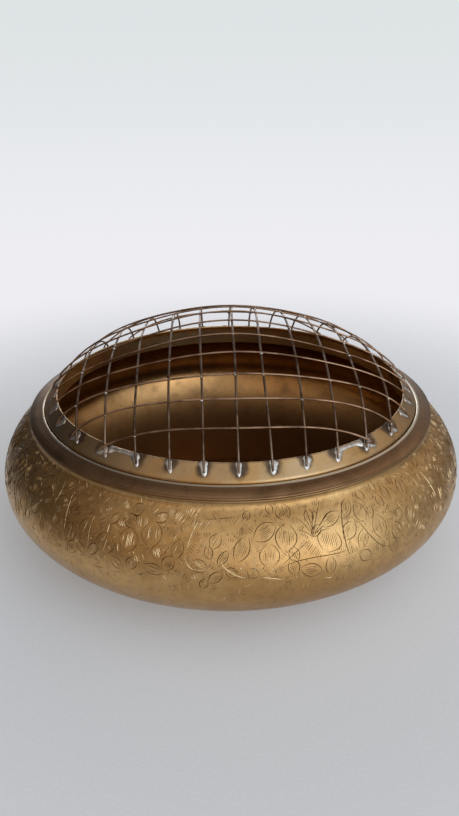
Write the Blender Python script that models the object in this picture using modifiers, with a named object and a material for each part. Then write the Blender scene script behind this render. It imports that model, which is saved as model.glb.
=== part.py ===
"""Brass flower frog: a low round bowl with a lift-off domed wire lid.

The bowl is a spun brass shell with a separate rim collar. The lid is a sloping
brass ring that drops into the collar, eleven wires bowed front to back, and
eleven cross wires laid over them, all ending on the ring's slope.
Units are metres, +Z is up, and the bowl stands on Z = 0.
"""
import math

import bpy
from mathutils import Vector

MM = 0.001

# ---- driving dimensions, in millimetres ----
GAP = 0.3                # clearance between neighbouring pieces
WALL = 1.2               # wall of the spun bowl
TURN_STEPS = 48          # facets round every turned piece

BELLY_R = 107.0          # widest radius of the bowl
BELLY_Z = 32.7           # height of the widest point
SHOULDER_A = 33.6        # half width of the shoulder's quarter ellipse
SHOULDER_B = 29.6        # its half height
FOOT_R = 50.2            # outer radius of the ring the bowl stands on
FOOT_IN_R = 45.0         # inner radius of that ring
DISH = 1.0               # rise of the dished base inside the ring
NECK_R = 92.4            # outside of the short straight neck
NECK_TOP = 60.2          # top edge of the neck
NECK_JOIN_R = 94.4       # radius where the shoulder meets the neck's fillet

LIP_R = 86.5             # crown of the collar's lip
LIP_Z = 63.4             # height of the lip
COLLAR_R = 92.8          # outer edge of the collar
COLLAR_SEAM_Z = 60.9     # height of that edge
LEDGE_IN_R = 83.0        # inner edge of the ledge the lid sits on
LEDGE_TOP = 62.1         # top of the ledge
LEDGE_T = 1.0            # thickness of the ledge

RING_IN_R = 80.2         # inner edge of the lid ring's slope
RING_IN_Z = 69.2         # height of that edge
RING_OUT_R = 85.75       # outer edge of the lid ring
RING_T = 1.0             # thickness of the lid ring's slope
SKIRT_R = 82.6           # outside of the skirt that drops through the collar
SKIRT_T = 1.0            # thickness of the skirt
SKIRT_Z = 58.6           # lower edge of the skirt

WIRE_R = 0.5             # radius of the lid wires
PITCH = 12.7             # spacing of the wires, half an inch
WIRES = 11               # wires each way
FEET_R = 83.6            # circle that the wire feet stand on
LAYER = 2 * WIRE_R + GAP  # cross wires lie this far above the others
FADE = 1.9               # length over which a cross wire comes down to its foot
BOW_SIDE = 0.0495        # how far front-to-back wires bow out, as a share
BOW_ENDS = 0.084         # how far cross wires bow out, as a share
DOME_H = 30.93           # leading height of the dome
DOME_C1 = -0.2307        # first shape factor of the dome
DOME_C2 = 0.7579         # second shape factor of the dome
DOME_TILT = 5.39         # extra height at the back of the dome
DOME_SADDLE = 1.36       # extra height to front and back, less at the sides

CENTRE = (WIRES - 1) // 2


def clear_scene():
    for obj in list(bpy.data.objects):
        bpy.data.objects.remove(obj, do_unlink=True)


def make_collection(name):
    coll = bpy.data.collections.new(name)
    bpy.context.scene.collection.children.link(coll)
    return coll


def material(name, colour, roughness, metallic):
    mat = bpy.data.materials.new(name)
    mat.use_nodes = True
    shader = mat.node_tree.nodes["Principled BSDF"]
    shader.inputs["Base Color"].default_value = (*colour, 1.0)
    shader.inputs["Roughness"].default_value = roughness
    shader.inputs["Metallic"].default_value = metallic
    return mat


def finish(obj, coll, mat, base_z=0.0):
    """Link an object, give it its material and put its origin on the Z axis."""
    coll.objects.link(obj)
    obj.data.materials.append(mat)
    obj.location = (0.0, 0.0, base_z * MM)
    return obj


def arc(centre_r, centre_z, a, b, start, end, steps):
    """Points (r, z) along an elliptical arc, angles in degrees."""
    points = []
    for i in range(steps + 1):
        angle = math.radians(start + (end - start) * i / steps)
        points.append((centre_r + a * math.cos(angle), centre_z + b * math.sin(angle)))
    return points


def turned(name, profile, closed, coll, mat, base_z=0.0):
    """A profile in the XZ plane, spun once round Z by a Screw modifier."""
    mesh = bpy.data.meshes.new(name)
    verts = [(r * MM, 0.0, (z - base_z) * MM) for r, z in profile]
    edges = [(i, i + 1) for i in range(len(verts) - 1)]
    if closed:
        edges.append((len(verts) - 1, 0))
    mesh.from_pydata(verts, edges, [])
    obj = finish(bpy.data.objects.new(name, mesh), coll, mat, base_z)
    screw = obj.modifiers.new("turn", "SCREW")
    screw.axis = "Z"
    screw.angle = 2 * math.pi
    screw.steps = TURN_STEPS
    screw.render_steps = TURN_STEPS
    screw.use_merge_vertices = True
    screw.merge_threshold = 0.00001
    screw.use_smooth_shade = True
    screw.use_normal_calculate = False
    return obj


# ---- the bowl ----
def shoulder_z(r, inset=0.0):
    """Height of the shoulder's ellipse at radius r, for a wall set in by inset."""
    share = (r - (BELLY_R - SHOULDER_A)) / (SHOULDER_A - inset)
    return BELLY_Z + (SHOULDER_B - inset) * math.sqrt(1.0 - share * share)


def bowl_body(coll, mat):
    """The spun shell: a run up the inside, over the neck and down the outside."""
    shoulder_c = BELLY_R - SHOULDER_A
    lower_a = BELLY_R - FOOT_R
    neck_in = NECK_R - WALL
    start = math.degrees(math.acos((NECK_JOIN_R - shoulder_c) / SHOULDER_A))
    join_z = shoulder_z(NECK_JOIN_R)
    outer = [(NECK_R, NECK_TOP), (NECK_R, join_z + 1.9), (NECK_R + 0.6, join_z + 0.7)]
    outer += arc(shoulder_c, BELLY_Z, SHOULDER_A, SHOULDER_B, start, 0.0, 8)
    outer += arc(FOOT_R, BELLY_Z, lower_a, BELLY_Z, 0.0, -90.0, 8)[1:]
    outer += [(FOOT_IN_R, 0.0), (FOOT_IN_R - 2.5, DISH), (0.0, DISH)]
    inner_a = SHOULDER_A - WALL
    stop = math.degrees(math.acos((neck_in - shoulder_c) / inner_a))
    inner = [(0.0, DISH + WALL), (FOOT_IN_R - 3.0, DISH + WALL), (FOOT_IN_R, WALL)]
    inner += arc(FOOT_R, BELLY_Z, lower_a - WALL, BELLY_Z - WALL, -90.0, 0.0, 8)
    inner += arc(shoulder_c, BELLY_Z, inner_a, SHOULDER_B - WALL, 0.0, stop, 6)[1:]
    inner.append((neck_in, NECK_TOP))
    return turned("bowl_body", inner + outer, False, coll, mat)


def rim_collar(coll, mat):
    """The rounded collar round the mouth, with its seat for the lid."""
    spigot_out = NECK_R - WALL - GAP
    spigot_in = spigot_out - 1.1
    under = NECK_TOP + GAP
    profile = [
        (LIP_R, LIP_Z), (88.3, LIP_Z - 0.25), (90.3, LIP_Z - 0.85),
        (91.9, LIP_Z - 1.65), (COLLAR_R, COLLAR_SEAM_Z), (COLLAR_R - 0.3, under),
        (spigot_out, under), (spigot_out, NECK_TOP - 3.4),
        (spigot_in, NECK_TOP - 3.4), (spigot_in, LEDGE_TOP - LEDGE_T),
        (LEDGE_IN_R, LEDGE_TOP - LEDGE_T), (LEDGE_IN_R, LEDGE_TOP),
        (LIP_R - 0.45, LEDGE_TOP), (LIP_R - 0.35, LIP_Z - 0.25),
    ]
    return turned("rim_collar", profile, True, coll, mat)


# ---- the lid ----
def slope_z(r):
    """Height of the lid ring's upper face at radius r."""
    drop = (RING_IN_Z - LIP_Z) / (LIP_R - RING_IN_R)
    return RING_IN_Z - drop * (r - RING_IN_R)


def slope_angle():
    return math.atan2(RING_IN_Z - LIP_Z, LIP_R - RING_IN_R)


def lid_ring(coll, mat):
    """The sloping ring with a skirt that drops through the collar."""
    seat = LEDGE_TOP + GAP
    down = RING_T / math.cos(slope_angle())
    skirt_in = SKIRT_R - SKIRT_T
    profile = [
        (RING_IN_R, RING_IN_Z), (RING_OUT_R - 0.2, slope_z(RING_OUT_R - 0.2)),
        (RING_OUT_R, slope_z(RING_OUT_R) - 0.35), (RING_OUT_R - 0.1, seat + 0.1),
        (RING_OUT_R - 0.4, seat), (85.0, slope_z(85.0) - down),
        (SKIRT_R, slope_z(SKIRT_R) - down), (SKIRT_R, SKIRT_Z),
        (skirt_in, SKIRT_Z), (skirt_in, slope_z(skirt_in) - down),
        (RING_IN_R - 0.6, RING_IN_Z - down + 0.5), (RING_IN_R - 0.6, RING_IN_Z - 0.2),
    ]
    return turned("lid_ring", profile, True, coll, mat, LIP_Z)


def dome_z(x, y):
    """Height of the front-to-back wires' centre lines over the lid."""
    share = min((x * x + y * y) / (FEET_R * FEET_R), 1.0)
    rise = DOME_H * (1.0 + DOME_C1 * share + DOME_C2 * share * share)
    rise += DOME_TILT * y / LIP_R + DOME_SADDLE * (y * y - x * x) / (LIP_R * LIP_R)
    clear = (WIRE_R + GAP + 0.02) / math.cos(slope_angle())
    ring = slope_z(max(math.hypot(x, y), RING_IN_R))
    return max(slope_z(FEET_R) + rise * (1.0 - share), ring) + clear


def dome_normal(x, y):
    step = 0.05
    run_x = (dome_z(x + step, y) - dome_z(x - step, y)) / (2 * step)
    run_y = (dome_z(x, y + step) - dome_z(x, y - step)) / (2 * step)
    return Vector((-run_x, -run_y, 1.0)).normalized()


def line_at(index):
    return (index - CENTRE) * PITCH


def bowed(offset, along, share):
    """Distance of a wire from the middle, where it has bowed outwards."""
    half = FEET_R * FEET_R - offset * offset
    return offset * (1.0 + share * (1.0 - min(along * along / half, 1.0)))


def crossing(fb, cross):
    """Plan position where a front-to-back wire meets a cross wire."""
    x, y = line_at(fb), line_at(cross)
    for _ in range(4):
        x, y = (bowed(line_at(fb), y, BOW_SIDE), bowed(line_at(cross), x, BOW_ENDS))
    return x, y


def front_back_points(index):
    """Centre line of one front-to-back wire, from its front foot to its back."""
    x0 = line_at(index)
    foot = math.sqrt(FEET_R ** 2 - x0 ** 2)
    plan = [(x0, -foot), (bowed(x0, foot - FADE, BOW_SIDE), -(foot - FADE))]
    for cross in range(WIRES):
        x, y = crossing(index, cross)
        if abs(y) < foot - FADE - 0.2 and abs(line_at(cross)) < foot:
            plan.append((x, y))
    plan += [(plan[1][0], foot - FADE), (x0, foot)]
    return [Vector((x, y, dome_z(x, y))) for x, y in plan]


def cross_points(index):
    """Centre line of one cross wire, laid over the front-to-back wires."""
    y0 = line_at(index)
    foot = math.sqrt(FEET_R ** 2 - y0 ** 2)
    plan = [(-foot, y0), (-(foot - FADE), bowed(y0, foot - FADE, BOW_ENDS))]
    for fb in range(WIRES):
        x, y = crossing(fb, index)
        if abs(x) < foot - FADE - 0.2 and abs(line_at(fb)) < foot:
            plan.append((x, y))
    plan += [(foot - FADE, plan[1][1]), (foot, y0)]
    points = []
    for i, (x, y) in enumerate(plan):
        lift = 0.0 if i in (0, len(plan) - 1) else LAYER
        points.append(Vector((x, y, dome_z(x, y))) + dome_normal(x, y) * lift)
    return points


def wire(name, points, coll, mat):
    """A round wire through the points, ends capped."""
    curve = bpy.data.curves.new(name, "CURVE")
    curve.dimensions = "3D"
    curve.bevel_depth = WIRE_R * MM
    curve.bevel_resolution = 1
    curve.use_fill_caps = True
    spline = curve.splines.new("POLY")
    spline.points.add(len(points) - 1)
    for spot, point in zip(spline.points, points):
        spot.co = (point.x * MM, point.y * MM, (point.z - LIP_Z) * MM, 1.0)
    return finish(bpy.data.objects.new(name, curve), coll, mat, LIP_Z)


def build():
    clear_scene()
    coll = make_collection("flower_frog")
    brass = material("aged_brass_bowl", (0.52, 0.34, 0.12), 0.34, 1.0)
    collar_brass = material("dark_brass_collar", (0.30, 0.18, 0.07), 0.30, 1.0)
    ring_brass = material("plain_brass_ring", (0.58, 0.42, 0.18), 0.32, 1.0)
    wire_brass = material("tarnished_wire", (0.36, 0.24, 0.13), 0.38, 1.0)

    bowl_body(coll, brass)
    rim_collar(coll, collar_brass)
    lid_ring(coll, ring_brass)

    for index in range(WIRES):
        number = f"{index + 1:02d}"
        wire(f"wire_front_back_{number}", front_back_points(index), coll, wire_brass)
        wire(f"wire_cross_{number}", cross_points(index), coll, wire_brass)


build()
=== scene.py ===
"""Looks for the engraved brass flower frog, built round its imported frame.

Every piece is a surface worked out with numpy from a few sizes. Lengths in this
script are millimetres until MM turns them into Blender's metres.
"""
import math

import bpy
import numpy as np
from bpy.props import FloatProperty, FloatVectorProperty, IntProperty, PointerProperty
from bpy.types import Operator, Panel, PropertyGroup
from mathutils import Matrix, Vector


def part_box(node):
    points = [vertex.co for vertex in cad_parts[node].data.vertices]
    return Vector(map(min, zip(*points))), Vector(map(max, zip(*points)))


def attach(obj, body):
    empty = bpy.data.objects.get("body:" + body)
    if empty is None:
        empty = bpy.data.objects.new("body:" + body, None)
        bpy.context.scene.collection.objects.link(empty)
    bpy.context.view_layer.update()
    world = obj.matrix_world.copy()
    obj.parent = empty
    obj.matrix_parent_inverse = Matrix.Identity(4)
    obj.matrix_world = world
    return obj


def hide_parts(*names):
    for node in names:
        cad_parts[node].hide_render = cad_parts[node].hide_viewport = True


bl_info = {
    "name": "Engraved flower frog",
    "version": (1, 0, 0),
    "blender": (4, 5, 0),
    "location": "View3D > Sidebar > Flower frog",
    "description": "Builds the detailed pieces of a brass flower frog round its frame",
    "category": "Add Mesh",
}

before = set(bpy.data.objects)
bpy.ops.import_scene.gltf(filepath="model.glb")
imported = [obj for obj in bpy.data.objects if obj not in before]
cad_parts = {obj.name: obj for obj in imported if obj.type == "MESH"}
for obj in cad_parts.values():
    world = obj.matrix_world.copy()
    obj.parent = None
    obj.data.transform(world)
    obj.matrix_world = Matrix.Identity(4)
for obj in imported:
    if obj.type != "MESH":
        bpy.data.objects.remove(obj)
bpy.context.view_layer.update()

MM = 0.001


def box_top(node):
    """Upper corner of a frame node's box."""
    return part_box(node)[1]


# ---- sizes taken from the frame, in millimetres ----
BELLY_R = box_top("bowl_body").x / MM
NECK_TOP = box_top("bowl_body").z / MM
COLLAR_R = box_top("rim_collar").x / MM
LIP_Z = box_top("rim_collar").z / MM
RING_IN_Z = box_top("lid_ring").z / MM
RING_OUT_R = box_top("lid_ring").x / MM
SKIRT_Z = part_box("lid_ring")[0].z / MM

# ---- sizes the frame's boxes don't give ----
LIP_R = 86.5             # crown of the collar's lip
RING_IN_R = 80.2         # inner edge of the lid ring's slope
RING_T = 1.0             # thickness of that slope
SKIRT_R = 82.6           # outside of the skirt that drops through the collar
SKIRT_T = 1.0            # its thickness
BELLY_Z = 32.7           # height of the widest point
SHOULDER_A = 33.6        # half width of the shoulder's quarter ellipse
SHOULDER_B = 29.6        # its half height
FOOT_R = 50.2            # outside of the ring the bowl stands on
FOOT_IN_R = 45.0         # inside of that ring
NECK_R = 92.4            # outside of the short neck
WALL = 1.2               # wall of the spun bowl
DISH = 1.0               # rise of the dished base
INSIDE_RISE = 3.6        # how far the inside's widest point lies above the outside's
INSIDE_DROP = 4.4        # how much lower the inside's shoulder is
LEDGE_IN_R = 83.0        # inner edge of the ledge the lid sits on
LEDGE_TOP = 62.1         # top of the ledge
LEDGE_T = 1.0            # its thickness
SPIGOT_GAP = 0.3         # clearance between the collar's spigot and the neck
SPIGOT_T = 1.1           # thickness of the spigot
SPIGOT_Z = 56.8          # its lower edge
FEET_R = 83.6            # circle that the wire feet stand on
PITCH = 12.7             # spacing of the wires
WIRES = 11               # wires each way
CENTRE = (WIRES - 1) // 2
BOW_SIDE = 0.0495        # how far front-to-back wires bow out, as a share
BOW_ENDS = 0.084         # how far cross wires bow out, as a share
DOME_H = 30.93           # leading height of the dome
DOME_C1 = -0.2307        # first shape factor of the dome
DOME_C2 = 0.7579         # second shape factor of the dome
DOME_TILT = 5.39         # extra height at the back
DOME_SADDLE = 1.36       # extra height to front and back, less at the sides
DOME_CORNER = 16.0       # extra height on the diagonals near the feet
FADE = 2.2               # length over which a cross wire comes down to its foot
SINK = 0.05              # how far touching pieces are let into each other
WIRE_STEPS = 150         # rows along a wire

# ---- engraving ----
WALL_SEED = 7            # one wobble for the wall and the strokes on it
SHORT, LONG = 6, 16      # rows along a hatch stroke and along an outline
PANELS = 4               # repeats of the main pattern round the wall
OUTLINE_HALF = 0.24      # half width of a leaf's outline
LEAF_HATCH = (0.14, 0.19)    # half widths of the hatching in a leaf
PATCH_HATCH = (0.13, 0.18)   # half widths in a block of hatching
FRINGE_HATCH = (0.10, 0.14)  # half widths in a fringe
BRIGHT = (0.7, 1.0)      # tones of freshly cut strokes

# ---- stage ----
# direction from the front towards the right and upwards, tightness, strength, warmth
GLOWS = (
    (29, 4, 9.0, 1.92, 0.0), (60, 8, 9.0, 0.40, -0.2), (-30, 8, 9.0, 0.22, 0.4),
    (-60, 8, 9.0, 0.03, 0.4), (90, 8, 9.0, 0.06, 0.3), (120, 8, 9.0, 0.11, 0.1),
    (150, 8, 9.0, 0.08, -0.1), (-55, 42, 9.0, 0.14, 0.2), (-30, 42, 9.0, 0.24, 0.25),
    (30, 40, 9.0, 0.80, -0.14), (60, 42, 9.0, 0.38, -0.15), (90, 42, 9.0, 0.21, 0.2),
    (120, 42, 9.0, 0.29, 0.2), (0, 85, 5.0, 0.36, 0.1), (180, 2, 14.0, 0.85, -0.03),
    (180, 12, 30.0, 2.0, 0.0),
)
ROOM = (0.03, 0.03, 0.035)            # light from everywhere else
BACKDROP_LOW = (0.85, 0.85, 0.89)     # background seen low down
BACKDROP_HIGH = (0.73, 0.77, 0.78)    # background seen high up
FLOOR_RADII = (200.0, 600.0, 1700.0)
FLOOR_COLS = 64
CAMERA_DISTANCE = 331.26
CAMERA_LENS = 30.668
# degrees: height and turn of the camera's place, then pitch, yaw and roll of its look
CAMERA_PLACE = (23.53, 2.04)
CAMERA_LOOK = (24.99, 1.98, -0.53)

RING_DROP = (RING_IN_Z - LIP_Z) / (LIP_R - RING_IN_R)
RING_ANGLE = math.atan(RING_DROP)
TAU = 2.0 * math.pi


# ======================================================================
# mesh helpers
# ======================================================================
def new_piece(name, verts, faces, mats, body, replaces=(),
              face_mats=None, smooth=True, uv=None, points=None):
    """Put arrays into a mesh object and tell the frame what the piece is.

    verts is N by 3 in millimetres, faces is a list of arrays of corner numbers,
    uv is N by 2, and points maps an attribute's name to one value a vertex.
    """
    mesh = bpy.data.meshes.new(name)
    sizes = np.concatenate([np.full(len(f), f.shape[1]) for f in faces])
    loops = np.concatenate([f.ravel() for f in faces]).astype(np.int32)
    starts = np.concatenate([[0], np.cumsum(sizes)[:-1]]).astype(np.int32)
    mesh.vertices.add(len(verts))
    mesh.vertices.foreach_set("co", (np.asarray(verts) * MM).astype(np.float32).ravel())
    mesh.loops.add(len(loops))
    mesh.loops.foreach_set("vertex_index", loops)
    mesh.polygons.add(len(sizes))
    mesh.polygons.foreach_set("loop_start", starts)
    mesh.update(calc_edges=True)
    mesh.validate()
    for mat in mats:
        mesh.materials.append(mat)
    if face_mats is not None:
        mesh.polygons.foreach_set("material_index", np.asarray(face_mats, np.int32))
    mesh.polygons.foreach_set("use_smooth", np.full(len(mesh.polygons), smooth))
    if uv is not None:
        layer = mesh.uv_layers.new(name="surface")
        layer.data.foreach_set("uv", np.asarray(uv, np.float32)[loops].ravel())
    for key, values in (points or {}).items():
        layer = mesh.attributes.new(key, "FLOAT", "POINT")
        layer.data.foreach_set("value", np.asarray(values, np.float32))
    obj = bpy.data.objects.new(name, mesh)
    bpy.context.scene.collection.objects.link(obj)
    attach(obj, body)
    if replaces:
        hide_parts(*replaces)


def pole_faces(pole, base, cols, forward):
    """Triangles from one point to the row of points that starts at base."""
    here, after = np.arange(cols), np.roll(np.arange(cols), -1)
    pair = (here, after) if forward else (after, here)
    return np.column_stack([np.full(cols, pole), base + pair[0], base + pair[1]])


def run_along(points):
    """Length along an outline at each of its points."""
    return np.concatenate([[0], np.cumsum(np.hypot(*np.diff(points, axis=0).T))])


def outline_normals(points):
    """Unit vectors square to an outline: its tangent (a, b) turned to (-b, a)."""
    tangent = np.gradient(points, axis=0)
    normal = np.column_stack([-tangent[:, 1], tangent[:, 0]])
    return normal / np.maximum(np.hypot(*normal.T), 1e-9)[:, None]


def spun(r, z, angle):
    """Points of a profile carried round: (r cos a, r sin a, z)."""
    return np.stack([r * np.cos(angle), r * np.sin(angle), z + 0 * angle], -1)


def grid_faces(rows, cols, wrap_rows=False):
    """Quads of a grid that closes round its columns, its points numbered row by row."""
    r = np.arange(rows if wrap_rows else rows - 1)
    rr, cc = np.meshgrid(r, np.arange(cols), indexing="ij")
    r2, c2 = (rr + 1) % rows, (cc + 1) % cols
    quads = np.stack([rr * cols + cc, rr * cols + c2, r2 * cols + c2, r2 * cols + cc], -1)
    return quads.reshape(-1, 4)


def arc(centre_r, centre_z, a, b, start, end, count):
    """Points on an ellipse: centre plus a times cosine and b times sine."""
    t = np.radians(np.linspace(start, end, count))
    return np.column_stack([centre_r + a * np.cos(t), centre_z + b * np.sin(t)])


def resampled(points, step):
    """The same outline with points a steady distance apart along its length."""
    points = np.asarray(points, float)
    along = run_along(points)
    count = max(2, int(round(along[-1] / step)) + 1)
    spots = np.linspace(0, along[-1], count)
    return np.column_stack([np.interp(spots, along, points[:, k]) for k in (0, 1)])


def rounded(points, radius, closed, corner_steps=5):
    """An outline with each corner cut back by radius and bridged by a parabola."""
    points = np.asarray(points, float)
    before, after = np.roll(points, 1, 0), np.roll(points, -1, 0)
    out = []
    for i, (p, a, b) in enumerate(zip(points, before, after)):
        if not closed and i in (0, len(points) - 1):
            out.append(p[None])
            continue
        la, lb = np.hypot(*(a - p)), np.hypot(*(b - p))
        cut = min(radius, 0.45 * la, 0.45 * lb)
        start, end = p + (a - p) / la * cut, p + (b - p) / lb * cut
        t = np.linspace(0, 1, corner_steps)[:, None]
        out.append((1 - t) ** 2 * start + 2 * t * (1 - t) * p + t * t * end)
    return np.concatenate(out)


def ripple(theta, height, amount):
    """Slow unevenness of a hand-spun wall: the mean of eight seeded waves, each a
    cosine of the angle times a cosine of the height."""
    rng = np.random.default_rng(WALL_SEED)
    total = np.zeros(np.broadcast(theta, height).shape)
    for _ in range(8):
        turns = rng.integers(2, 9)
        length = rng.uniform(24.0, 70.0)
        phase = rng.uniform(0, TAU, 2)
        total += np.cos(turns * theta + phase[0]) * np.cos(TAU * height / length + phase[1])
    return amount * total / 8.0


def facing_out(verts, faces):
    """The faces, all turned over if the closed surface's signed volume is negative.

    Volume = a sixth of the sum, over triangles (a, b, c), of a . (b x c).
    """
    volume = 0.0
    for f in faces:
        for k in range(1, f.shape[1] - 1):
            a, b, c = verts[f[:, 0]], verts[f[:, k]], verts[f[:, k + 1]]
            volume += np.einsum("ij,ij->", a, np.cross(b, c))
    return faces if volume > 0 else [f[:, ::-1] for f in faces]


def turned_piece(name, profile, cols, mats, body, replaces, extra,
                 closed=False, face_rule=None, wobble=0.0):
    """A profile of (r, z) points carried once round the Z axis.

    Point = (r cos a, r sin a, z), pushed along the profile's normal by the wobble.
    An open profile that starts and ends on the axis gets one point at each pole.
    """
    along = run_along(profile)
    angle = np.linspace(0, TAU, cols, endpoint=False)
    poles = (not closed) and profile[0, 0] < 1e-6 and profile[-1, 0] < 1e-6
    inner = slice(1, -1) if poles else slice(None)
    ring, run = profile[inner], along[inner]
    rows = len(ring)
    push = ripple(angle[None], ring[:, 1:], wobble)
    normal = outline_normals(ring)
    r = ring[:, :1] + normal[:, :1] * push
    z = ring[:, 1:] + normal[:, 1:] * push
    verts = spun(r, z, angle).reshape(-1, 3)
    quads = grid_faces(rows, cols, wrap_rows=closed)
    faces, index = [quads], [np.repeat(np.arange(len(quads) // cols), cols)]
    uv_rows = np.repeat(run, cols)
    if poles:
        verts = np.concatenate([verts, [[0, 0, profile[0, 1]], [0, 0, profile[-1, 1]]]])
        faces.append(pole_faces(rows * cols, 0, cols, False))
        faces.append(pole_faces(rows * cols + 1, (rows - 1) * cols, cols, True))
        index += [np.zeros(cols, int), np.full(cols, rows - 2)]
        uv_rows = np.concatenate([uv_rows, [along[0], along[-1]]])
    around = np.arctan2(verts[:, 1], verts[:, 0])
    uv = np.column_stack([around / TAU * 100.0, uv_rows / 10.0])
    face_mats = None if face_rule is None else face_rule(np.concatenate(index))
    new_piece(name, verts, facing_out(verts, faces), mats, body, replaces,
              face_mats=face_mats, uv=uv, points=extra(verts))


def tube(path, radius, sides, side_hint):
    """A round tube along a path: centre plus radius times a turning cross vector.

    The cross vectors are the hint made square to the path, and their product
    with the path's direction. Both ends close on a point.
    """
    tangent = np.gradient(path, axis=0)
    tangent /= np.linalg.norm(tangent, axis=1)[:, None]
    up = np.cross(tangent, side_hint)
    up /= np.linalg.norm(up, axis=1)[:, None]
    side = np.cross(up, tangent)
    angle = np.linspace(0, TAU, sides, endpoint=False)
    spoke = side[:, None] * np.cos(angle)[None, :, None] + up[:, None] * np.sin(angle)[None, :, None]
    radius = np.broadcast_to(np.asarray(radius, float), (len(path),))
    verts = (path[:, None] + spoke * radius[:, None, None]).reshape(-1, 3)
    rows = len(path)
    verts = np.concatenate([verts, path[:1] - tangent[:1] * radius[0] * 0.4,
                            path[-1:] + tangent[-1:] * radius[-1] * 0.4])
    faces = [grid_faces(rows, sides)[:, ::-1], pole_faces(rows * sides, 0, sides, True),
             pole_faces(rows * sides + 1, (rows - 1) * sides, sides, False)]
    return verts, facing_out(verts, faces)


def joined(parts):
    """Several (verts, faces) pairs as one, with the faces renumbered."""
    verts, by_size, base = [], {}, 0
    for v, faces in parts:
        for f in faces:
            by_size.setdefault(f.shape[1], []).append(f + base)
        verts.append(v)
        base += len(v)
    return np.concatenate(verts), [np.concatenate(by_size[k]) for k in sorted(by_size)]


def unit_ball(rows, cols):
    """A closed ball: point = (sin p cos a, sin p sin a, cos p), one point a pole."""
    p = np.linspace(0, math.pi, rows + 2)[1:-1]
    a = np.linspace(0, TAU, cols, endpoint=False)
    pp, aa = np.meshgrid(p, a, indexing="ij")
    verts = np.stack([np.sin(pp) * np.cos(aa), np.sin(pp) * np.sin(aa), np.cos(pp)], -1)
    verts = np.concatenate([verts.reshape(-1, 3), [[0, 0, 1.0], [0, 0, -1.0]]])
    faces = [grid_faces(rows, cols)[:, ::-1], pole_faces(rows * cols, 0, cols, True),
             pole_faces(rows * cols + 1, (rows - 1) * cols, cols, False)]
    return verts, faces


def many(shape_verts, shape_faces, placed):
    """Copies of one shape: placed is an array of every copy's own points."""
    count, size = placed.shape[0], len(shape_verts)
    shift = (np.arange(count) * size)[:, None, None]
    faces = [(f[None] + shift).reshape(-1, f.shape[1]) for f in shape_faces]
    return placed.reshape(-1, 3), faces


# ======================================================================
# the lid's dome
# ======================================================================
def slope_z(r):
    """Height of the lid ring's upper face: a straight fall from its inner edge."""
    return RING_IN_Z - RING_DROP * (r - RING_IN_R)


def dome_z(x, y, wire_r):
    """Height of the lower wires' centre lines.

    (1 - s) times a polynomial of s, with s the squared share of the feet's
    circle, plus a lean to the back, a saddle and a lift on the diagonals.
    """
    square = x * x + y * y
    s = np.minimum(square / FEET_R ** 2, 1.0)
    rise = DOME_H * (1.0 + DOME_C1 * s + DOME_C2 * s * s)
    rise = rise + DOME_TILT * y / LIP_R + DOME_SADDLE * (y * y - x * x) / LIP_R ** 2
    rise = rise + DOME_CORNER * s ** 3 * (2 * x * y / np.maximum(square, 1e-6)) ** 2
    ring = slope_z(np.maximum(np.sqrt(square), RING_IN_R))
    floor = np.maximum(slope_z(FEET_R) + rise * (1.0 - s), ring)
    return floor + wire_r / math.cos(RING_ANGLE)


def dome_normal(x, y, wire_r):
    """Upward unit normal of the dome: (-dz/dx, -dz/dy, 1), by central differences."""
    step = 0.1
    run_x = (dome_z(x + step, y, wire_r) - dome_z(x - step, y, wire_r)) / (2 * step)
    run_y = (dome_z(x, y + step, wire_r) - dome_z(x, y - step, wire_r)) / (2 * step)
    n = np.stack([-run_x, -run_y, np.ones_like(run_x)], -1)
    return n / np.linalg.norm(n, axis=-1)[..., None]


def line_at(index):
    """Offset of a wire's line from the middle: even steps of the pitch."""
    return (index - CENTRE) * PITCH


def bowed(offset, along, share):
    """The offset grown by a share of 1 - (along / half chord) squared."""
    half = FEET_R ** 2 - offset ** 2
    return offset * (1.0 + share * (1.0 - np.minimum(along ** 2 / half, 1.0)))


def drift(index, t):
    """Sideways error of a front-to-back wire: a small seeded wander, and for the
    middle wires the lean that hand soldering left. t runs 0 at the front to 1."""
    rng = np.random.default_rng(300 + index)
    wander = 0.22 * np.sin(TAU * (t * rng.uniform(1.2, 2.4) + rng.uniform()))
    lean = {5: (0.5, 3.0), 6: (-1.1, 0.6), 7: (0.6, 0.9), 8: (0.5, 0.3), 2: (-0.9, 0.2)}
    front, back = lean.get(index, (0.0, 0.0))
    ends = np.sin(math.pi * np.clip(t, 0, 1)) ** 0.5
    return ends * (wander + front) + np.sin(0.5 * math.pi * np.clip(t, 0, 1)) * (back - front) * t


def cross_drift(index, t):
    """Sideways error of a cross wire: a seeded sine that dies out at both feet."""
    rng = np.random.default_rng(500 + index)
    return 0.25 * np.sin(TAU * (t * rng.uniform(1.0, 2.2) + rng.uniform())) * np.sin(math.pi * t)


def half_chord(offset):
    """Half the length of the feet's circle cut off at an offset."""
    return math.sqrt(FEET_R ** 2 - offset ** 2)


def spread(t):
    """-1 to 1 as t goes 0 to 1, closer together at the ends: minus the cosine of
    pi times a blend of t and (1 - cos pi t) / 2."""
    return -np.cos(math.pi * (0.35 * t + 0.65 * (1 - np.cos(math.pi * t)) / 2))


def fb_plan(index, t):
    """Plan position of a front-to-back wire at t from 0, front, to 1, back."""
    x0 = line_at(index)
    foot = half_chord(x0)
    y = foot * spread(t)
    return bowed(x0, y, BOW_SIDE) + drift(index, (y / foot + 1) / 2), y


def cross_plan(index, t):
    """Plan position of a cross wire at t from 0, left, to 1, right."""
    y0 = line_at(index)
    foot = half_chord(y0)
    x = foot * spread(t)
    return x, bowed(y0, x, BOW_ENDS) + cross_drift(index, (x / foot + 1) / 2)


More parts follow.
